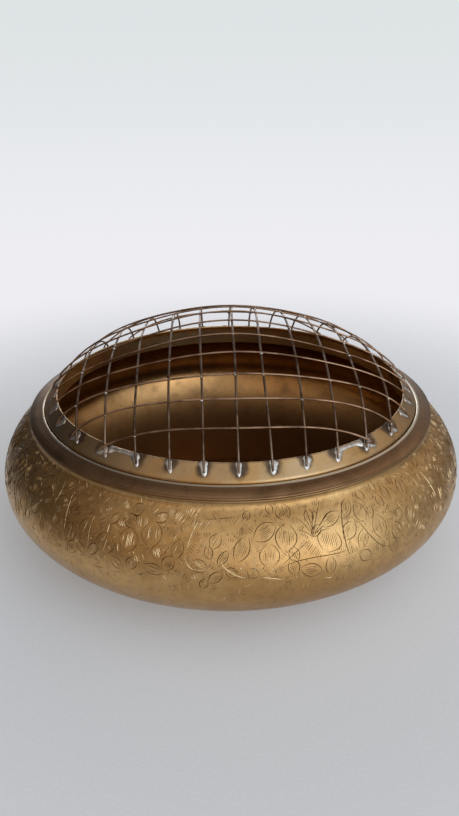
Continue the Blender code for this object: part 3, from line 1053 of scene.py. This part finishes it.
# ======================================================================
# the pieces
# ======================================================================
class FROG_OT_bowl(Operator):
    """Spun bowl, outside and inside, as one closed wall"""
    bl_idname = "frog.bowl"
    bl_label = "Bowl"

    def execute(self, context):
        outer = resampled(outer_profile(), 0.75)
        base = rounded([(FOOT_R, 0.0), (FOOT_IN_R, 0.0), (FOOT_IN_R - 2.5, DISH), (0, DISH)],
                       1.0, False)
        shoulder_c = BELLY_R - SHOULDER_A
        neck_in = NECK_R - WALL
        inner_z = BELLY_Z + INSIDE_RISE
        stop = math.degrees(math.acos((neck_in - shoulder_c) / (SHOULDER_A - WALL)))
        inner = np.concatenate([
            [(0, DISH + WALL), (FOOT_IN_R - 3.0, DISH + WALL), (FOOT_IN_R, WALL)],
            arc(FOOT_R, inner_z, BELLY_R - FOOT_R - WALL, inner_z - WALL, -90, 0, 40),
            arc(shoulder_c, inner_z, SHOULDER_A - WALL, SHOULDER_B - WALL - INSIDE_DROP,
                0, stop, 36)[1:],
            [(neck_in, NECK_TOP)]])
        inner = resampled(inner, 1.6)
        profile = np.concatenate([inner, outer, base[1:]])
        turn = len(inner)

        def sides(row):
            return np.where(row < turn - 1, 1, 0)

        def seam(verts):
            """Painted shadow just under the collar: 1 at its height, nothing 1.3 mm away."""
            near = np.clip(1 - np.abs(verts[:, 2] - 59.8) / 1.3, 0, 1)
            return {"seam": 0.75 * near * (np.hypot(verts[:, 0], verts[:, 1]) > NECK_R - 0.6)}

        turned_piece("bowl_wall", profile, settings().columns, [mat_body(), mat_inside()],
                     "bowl", ("bowl_body",), seam, face_rule=sides,
                     wobble=-settings().wobble / MM)
        return {"FINISHED"}


class FROG_OT_engraving(Operator):
    """Engraved leaves, sprays, petals and hatching on the bowl's wall"""
    bl_idname = "frog.engraving"
    bl_label = "Engraving"

    def execute(self, context):
        art = draw_ornament(Wall(-settings().wobble / MM))
        mat = mat_cut()
        share = settings().cut_height
        for name, kind in (("engraved_outlines", LONG), ("engraved_hatching", SHORT)):
            verts, faces, tone = art.mesh(kind, share)
            new_piece(name, verts, faces, [mat], "bowl", smooth=False,
                      points={"tone": tone})
        return {"FINISHED"}


class FROG_OT_collar(Operator):
    """Rounded collar with its worn lip and painted highlight, its seat for the lid and a beaded seam
    """
    bl_idname = "frog.collar"
    bl_label = "Collar"

    def execute(self, context):
        under = NECK_TOP + 0.1
        spigot = NECK_R - WALL - SPIGOT_GAP
        crown = arc(LIP_R + 0.1, LIP_Z - 0.72, 0.72, 0.72, 178, 62, 16)
        band = np.array([(88.2, LIP_Z - 0.46), (90.0, LIP_Z - 0.95), (91.3, LIP_Z - 1.50),
                         (92.0, LIP_Z - 1.95)])
        bead = arc(COLLAR_R - 0.42, LIP_Z - 2.55, 0.42, 0.42, 110, -70, 10)
        inner, ledge = spigot - SPIGOT_T, LEDGE_TOP - LEDGE_T
        seat = np.array([(COLLAR_R - 0.6, under), (spigot, under), (spigot, SPIGOT_Z),
                         (inner, SPIGOT_Z), (inner, ledge), (LEDGE_IN_R, ledge),
                         (LEDGE_IN_R, LEDGE_TOP), (LIP_R - 0.62, LEDGE_TOP)])
        profile = np.concatenate([crown, resampled(band, 0.35), bead, rounded(seat, 0.3, False, 4)])
        profile = resampled(np.concatenate([profile, profile[:1]]), 0.32)[:-1]

        def lip_wear_and_highlight(verts):
            """Rubbed metal and a painted highlight on the lip, most at the front right where the
            light falls, and a little on the bead.
            """
            r = np.hypot(verts[:, 0], verts[:, 1])
            key_light_side = 0.70 + 0.30 * np.cos(np.arctan2(verts[:, 1], verts[:, 0]) + 0.9)
            lip = np.clip(1.4 - np.abs(r - LIP_R - 0.1) / 1.0, 0, 1) * key_light_side
            bead_wear_and_highlight = 0.2 * np.clip(1 - np.abs(r - (COLLAR_R - 0.1)) / 0.42, 0, 1)
            return {"worn": np.maximum(lip, bead_wear_and_highlight) * (verts[:, 2] > 60.6)}

        turned_piece("collar_band", profile, settings().columns, [mat_collar()],
                     "bowl", ("rim_collar",), lip_wear_and_highlight, closed=True)
        return {"FINISHED"}


class FROG_OT_ring(Operator):
    """Sloping lid ring and its skirt, stained round every soldered foot"""
    bl_idname = "frog.ring"
    bl_label = "Lid ring"

    def execute(self, context):
        down = RING_T / math.cos(RING_ANGLE)
        skirt_in = SKIRT_R - SKIRT_T
        edge = RING_OUT_R - 0.2
        outline = np.array([
            (RING_IN_R, RING_IN_Z), (edge, slope_z(edge)), (RING_OUT_R, slope_z(RING_OUT_R) - 0.35),
            (RING_OUT_R - 0.1, 62.5), (RING_OUT_R - 0.4, 62.4), (85.0, slope_z(85.0) - down),
            (SKIRT_R, slope_z(SKIRT_R) - down), (SKIRT_R, SKIRT_Z), (skirt_in, SKIRT_Z),
            (skirt_in, slope_z(skirt_in) - down), (RING_IN_R - 0.6, RING_IN_Z - down + 0.5),
            (RING_IN_R - 0.6, RING_IN_Z - 0.2)])
        profile = rounded(outline, 0.28, True, 4)
        profile = resampled(np.concatenate([profile, profile[:1]]), 0.34)[:-1]
        feet = foot_frames()[0]

        def stain(verts):
            """Burnt flux: 1 near a foot, nothing 4.65 mm away, weaker at the back."""
            reach = np.full(len(verts), 1e9)
            for spot in feet:
                inner = spot * np.array([0.975, 0.975, 1.0])
                reach = np.minimum(reach, np.hypot(*(verts - inner)[:, :2].T))
            front = 0.6 - 0.4 * np.sin(np.arctan2(verts[:, 1], verts[:, 0]))
            return {"stain": np.clip(1.5 - reach / 3.1, 0, 1) * (verts[:, 2] > 62.6) * front}

        turned_piece("lid_slope", profile, settings().columns * 3 // 2, [mat_ring()],
                     "lid", ("lid_ring",), stain, closed=True)
        return {"FINISHED"}


def foot_frames():
    """Every wire's foot on the ring: its spot, and its run, side and normal axes."""
    spots, runs = [], []
    for index in range(WIRES):
        offset = line_at(index)
        foot = half_chord(offset)
        for sign in (-1, 1):
            spots += [(offset, sign * foot, 0.0), (sign * foot, offset, 0.0)]
            runs += [(0.0, sign, 0.0), (sign, 0.0, 0.0)]
    spots = np.array(spots)
    spots[:, 2] = slope_z(np.hypot(spots[:, 0], spots[:, 1]))
    radial = spots * np.array([1, 1, 0])
    radial /= np.linalg.norm(radial, axis=1)[:, None]
    normal = radial * math.sin(RING_ANGLE) + np.array([0, 0, math.cos(RING_ANGLE)])
    runs = np.array(runs, float)
    runs -= normal * (runs * normal).sum(1)[:, None]
    runs /= np.linalg.norm(runs, axis=1)[:, None]
    return spots, runs, np.cross(runs, normal), normal


class FROG_OT_long_wires(Operator):
    """The lower wires, front to back, one piece each"""
    bl_idname = "frog.long_wires"
    bl_label = "Front-to-back wires"

    def execute(self, context):
        mat = mat_wire("tinned_wire", "wire", "wire_dark")
        radius = settings().wire / MM / 2
        for index in range(WIRES):
            path = fb_path(index, np.linspace(0, 1, WIRE_STEPS), radius)
            verts, faces = tube(path, radius, 14, np.array([1.0, 0.0, 0.0]))
            new_piece(f"long_wire_{index + 1:02d}", verts, faces, [mat], "lid",
                      (f"wire_front_back_{index + 1:02d}",))
        return {"FINISHED"}


class FROG_OT_cross_wires(Operator):
    """The upper wires, left to right, one piece each"""
    bl_idname = "frog.cross_wires"
    bl_label = "Cross wires"

    def execute(self, context):
        mat = mat_wire("coppery_wire", "cross", "cross_dark")
        radius = settings().cross_wire / MM / 2
        under = settings().wire / MM / 2
        for index in range(WIRES):
            path = cross_path(index, np.linspace(0, 1, WIRE_STEPS), radius, under)
            verts, faces = tube(path, radius, 12, np.array([0.0, 1.0, 0.0]))
            new_piece(f"cross_wire_{index + 1:02d}", verts, faces, [mat], "lid",
                      (f"wire_cross_{index + 1:02d}",))
        return {"FINISHED"}


class FROG_OT_solder(Operator):
    """Solder at the feet, the bridges at the corners and the dots at the crossings"""
    bl_idname = "frog.solder"
    bl_label = "Solder"

    def execute(self, context):
        rng = np.random.default_rng(77)
        mat = mat_solder()
        spots, runs, sides, normals = foot_frames()
        count = len(spots)
        ball, faces = unit_ball(14, 22)
        # a ball drawn out along each wire: a wide skirt at the ring's inner edge, a round
        # tip, and an underside a third as deep as the top
        lump = 1 + 0.10 * np.sin(5 * ball[:, 0] + 3 * ball[:, 1]) * np.cos(4 * ball[:, 1])
        half_len = rng.uniform(2.8, 3.3, count)
        half_wide = rng.uniform(1.2, 1.75, count)
        tall = rng.uniform(0.45, 0.66, count)
        centre = spots - runs * (half_len - 1.0)[:, None]
        taper = 0.82 + 0.95 * np.exp(-((ball[:, 1] + 0.75) / 0.32) ** 2)
        wide = (ball[:, 0] * taper * lump)[None, :, None]
        high = np.where(ball[:, 2] > 0, ball[:, 2], 0.35 * ball[:, 2])[None, :, None]
        offset = (sides[:, None] * wide * half_wide[:, None, None]
                  + runs[:, None] * ball[None, :, 1, None] * half_len[:, None, None]
                  + normals[:, None] * high * tall[:, None, None])
        verts, all_faces = many(ball, faces, centre[:, None] + offset)
        new_piece("solder_feet", verts, all_faces, [mat], "lid")
        self.bridges(mat)
        self.dots(mat, rng)
        return {"FINISHED"}

    def bridges(self, mat):
        """Webs of solder along the ring's inner edge between neighbouring feet.

        Each is a flattened tube on an arc of the edge: radius 0.75 mm in the
        middle and 1.3 mm more towards both feet, as a power of one less a sine.
        """
        parts = []
        for first, second, back in ((1, 2, False), (8, 9, False), (3, 4, True), (7, 8, True)):
            ends = []
            for index in (first, second):
                x = line_at(index)
                y = half_chord(x)
                ends.append(math.atan2(y if back else -y, x))
            t = np.linspace(0, 1, 44)
            angle = ends[0] + (ends[1] - ends[0]) * t
            sag = np.sin(math.pi * t)
            r = RING_IN_R + 0.7 + 0.9 * (1 - sag) ** 1.5
            path = spun(r, slope_z(r) + SINK, angle)
            ends_round = np.minimum(1, 8 * np.minimum(t, 1 - t) + 0.35)
            size = (0.75 + 1.3 * (1 - sag) ** 1.6 + 0.06 * np.sin(23 * t)) * ends_round
            verts, faces = tube(path, size, 16, np.array([0.0, 0.0, 1.0]))
            flat = slope_z(np.hypot(verts[:, 0], verts[:, 1]))
            verts[:, 2] = flat + (verts[:, 2] - flat) * 0.5
            parts.append((verts, faces))
        verts, faces = joined(parts)
        new_piece("solder_bridges", verts, faces, [mat], "lid")

    def dots(self, mat, rng):
        """A small uneven ball of solder in about half of the crossings, between both wires."""
        under = settings().wire / MM / 2
        x, y = crossings()
        keep = rng.uniform(size=len(x)) < 0.5
        x, y = x[keep], y[keep]
        normal = dome_normal(x, y, under)
        centre = np.column_stack([x, y, dome_z(x, y, under)]) + normal * under * 0.75
        centre[:, :2] += rng.uniform(-0.25, 0.25, (len(x), 2))
        size = rng.uniform(0.5, 0.9, (len(x), 1)) * rng.uniform(0.85, 1.15, (len(x), 3))
        size[:, 2] *= 0.8
        ball, faces = unit_ball(8, 14)
        bump = 1 + 0.12 * np.sin(4 * ball[:, 0] + 5 * ball[:, 2])
        placed = centre[:, None] + (ball * bump[:, None])[None] * size[:, None]
        verts, all_faces = many(ball, faces, placed)
        new_piece("solder_dots", verts, all_faces, [mat], "lid")


# ======================================================================
# the stage
# ======================================================================
class FROG_OT_stage(Operator):
    """Pale floor, soft studio light and the camera"""
    bl_idname = "frog.stage"
    bl_label = "Stage"

    def execute(self, context):
        self.floor()
        self.light()
        self.camera()
        context.scene.view_settings.view_transform = "Standard"
        return {"FINISHED"}

    def floor(self):
        """A wide disc that fades out into the background at its edge."""
        n = Finish("pale_floor")
        place = n.object_place()
        grain = n.noise(place, 900.0, 2.0, 0.5)
        colour = n.blend(n.ramp(grain, 0.3, 0.7), (0.62, 0.65, 0.69), (0.65, 0.68, 0.72))
        n.finish(colour, 0.85, None, 0.0)
        n.shader.inputs["Specular IOR Level"].default_value = 0.2
        # Painted light: the floor glows faintly, which lightens the shadows cast on it.
        n.shader.inputs["Emission Color"].default_value = (0.95, 1.0, 1.06, 1.0)
        n.shader.inputs["Emission Strength"].default_value = 0.17
        away = n.add("ShaderNodeVectorMath", {0: place}, operation="LENGTH").outputs["Value"]
        clear = n.add("ShaderNodeBsdfTransparent").outputs[0]
        fade = n.add("ShaderNodeMixShader", {0: n.ramp(away, 0.13, 0.44), 1: n.shader.outputs[0],
                                             2: clear})
        n.tree.links.new(fade.outputs[0], n.tree.nodes["Material Output"].inputs[0])
        angle = np.linspace(0, TAU, FLOOR_COLS, endpoint=False)
        r, a = np.meshgrid(FLOOR_RADII, angle, indexing="ij")
        verts = np.concatenate([spun(r, -SINK, a).reshape(-1, 3), [[0, 0, -SINK]]])
        rows = len(FLOOR_RADII)
        faces = [pole_faces(rows * FLOOR_COLS, 0, FLOOR_COLS, True),
                 grid_faces(rows, FLOOR_COLS)[:, ::-1]]
        mesh = bpy.data.meshes.new("floor")
        mesh.from_pydata((verts * MM).tolist(), [], [tuple(f) for group in faces
                                                     for f in group.tolist()])
        mesh.materials.append(n.mat)
        floor = bpy.data.objects.new("floor", mesh)
        bpy.context.scene.collection.objects.link(floor)

    def light(self):
        """A dim room with a few wide glows, as soft boxes would give.

        A glow is its colour times exp(tightness (d - 1)), with d the cosine between
        the glow's direction and the one looked along. The camera sees a pale
        backdrop in place of the glows.
        """
        world = bpy.data.worlds.new("studio")
        bpy.context.scene.world = world
        world.use_nodes = True
        world.node_tree.nodes.clear()
        n = Nodes(world.node_tree)
        way = n.add("ShaderNodeTexCoord").outputs["Generated"]
        total = ROOM
        for azimuth, height, tight, strength, warmth in GLOWS:
            a, e = math.radians(azimuth), math.radians(height)
            aim = (math.sin(a) * math.cos(e), -math.cos(a) * math.cos(e), math.sin(e))
            near = n.add("ShaderNodeVectorMath", {0: way, 1: aim}, operation="DOT_PRODUCT")
            less = n.sum(near.outputs["Value"], 1.0, "SUBTRACT")
            glow = n.sum(n.times(less, tight), 0.0, "EXPONENT")
            warm = (strength * (1 + warmth), strength, strength * (1 - warmth))
            total = n.blend(1.0, total, n.blend(glow, (0, 0, 0), warm), "ADD")
        level = n.add("ShaderNodeSeparateXYZ", {0: way}).outputs["Z"]
        backdrop = n.blend(n.ramp(level, -0.22, 0.10), BACKDROP_LOW, BACKDROP_HIGH)
        lit, seen = (n.add("ShaderNodeBackground", {"Color": colour}).outputs[0]
                     for colour in (total, backdrop))
        direct = n.add("ShaderNodeLightPath").outputs["Is Camera Ray"]
        pick = n.add("ShaderNodeMixShader", {0: direct, 1: lit, 2: seen}).outputs[0]
        n.add("ShaderNodeOutputWorld", {0: pick})

    def camera(self):
        """Stands at the set distance from the lip's centre, then pitches, yaws and rolls."""
        height, turn = (math.radians(a) for a in CAMERA_PLACE)
        pitch, yaw, roll = (math.radians(a) for a in CAMERA_LOOK)
        flat = -CAMERA_DISTANCE * math.cos(height)
        place = np.array([flat * math.sin(turn), flat * math.cos(turn),
                          LIP_Z + CAMERA_DISTANCE * math.sin(height)])
        look = Vector((math.sin(yaw) * math.cos(pitch), math.cos(yaw) * math.cos(pitch),
                       -math.sin(pitch)))
        right = look.cross(Vector((0, 0, 1))).normalized()
        up = right.cross(look)
        x = right * math.cos(roll) + up * math.sin(roll)
        y = up * math.cos(roll) - right * math.sin(roll)
        turned = Matrix((x, y, -look)).transposed().to_4x4()
        turned.translation = Vector(place * MM)
        data = bpy.data.cameras.new("camera")
        data.sensor_width = 36.0
        data.lens = CAMERA_LENS
        data.clip_start = 0.01
        obj = bpy.data.objects.new("camera", data)
        obj.matrix_world = turned
        bpy.context.scene.collection.objects.link(obj)
        bpy.context.scene.camera = obj


class FROG_PT_panel(Panel):
    """Lists the pieces and their settings"""
    bl_label = "Flower frog"
    bl_idname = "FROG_PT_panel"
    bl_space_type = "VIEW_3D"
    bl_region_type = "UI"
    bl_category = "Flower frog"

    def draw(self, context):
        for group in (context.scene.frog_sizes, context.scene.frog_colours):
            for key in group.bl_rna.properties.keys():
                if key not in {"rna_type", "name"}:
                    self.layout.prop(group, key)
        for operator in OPERATORS:
            self.layout.operator(operator.bl_idname)


OPERATORS = (FROG_OT_bowl, FROG_OT_engraving, FROG_OT_collar, FROG_OT_ring, FROG_OT_long_wires,
             FROG_OT_cross_wires, FROG_OT_solder, FROG_OT_stage)
CLASSES = (FROG_PG_sizes, FROG_PG_colours, *OPERATORS, FROG_PT_panel)


def register():
    for cls in CLASSES:
        bpy.utils.register_class(cls)
    bpy.types.Scene.frog_sizes = PointerProperty(type=FROG_PG_sizes)
    bpy.types.Scene.frog_colours = PointerProperty(type=FROG_PG_colours)


def unregister():
    del bpy.types.Scene.frog_sizes
    del bpy.types.Scene.frog_colours
    for cls in reversed(CLASSES):
        bpy.utils.unregister_class(cls)


def main():
    register()
    for operator in OPERATORS:
        group, name = operator.bl_idname.split(".")
        getattr(getattr(bpy.ops, group), name)()


if __name__ == "__main__":
    main()
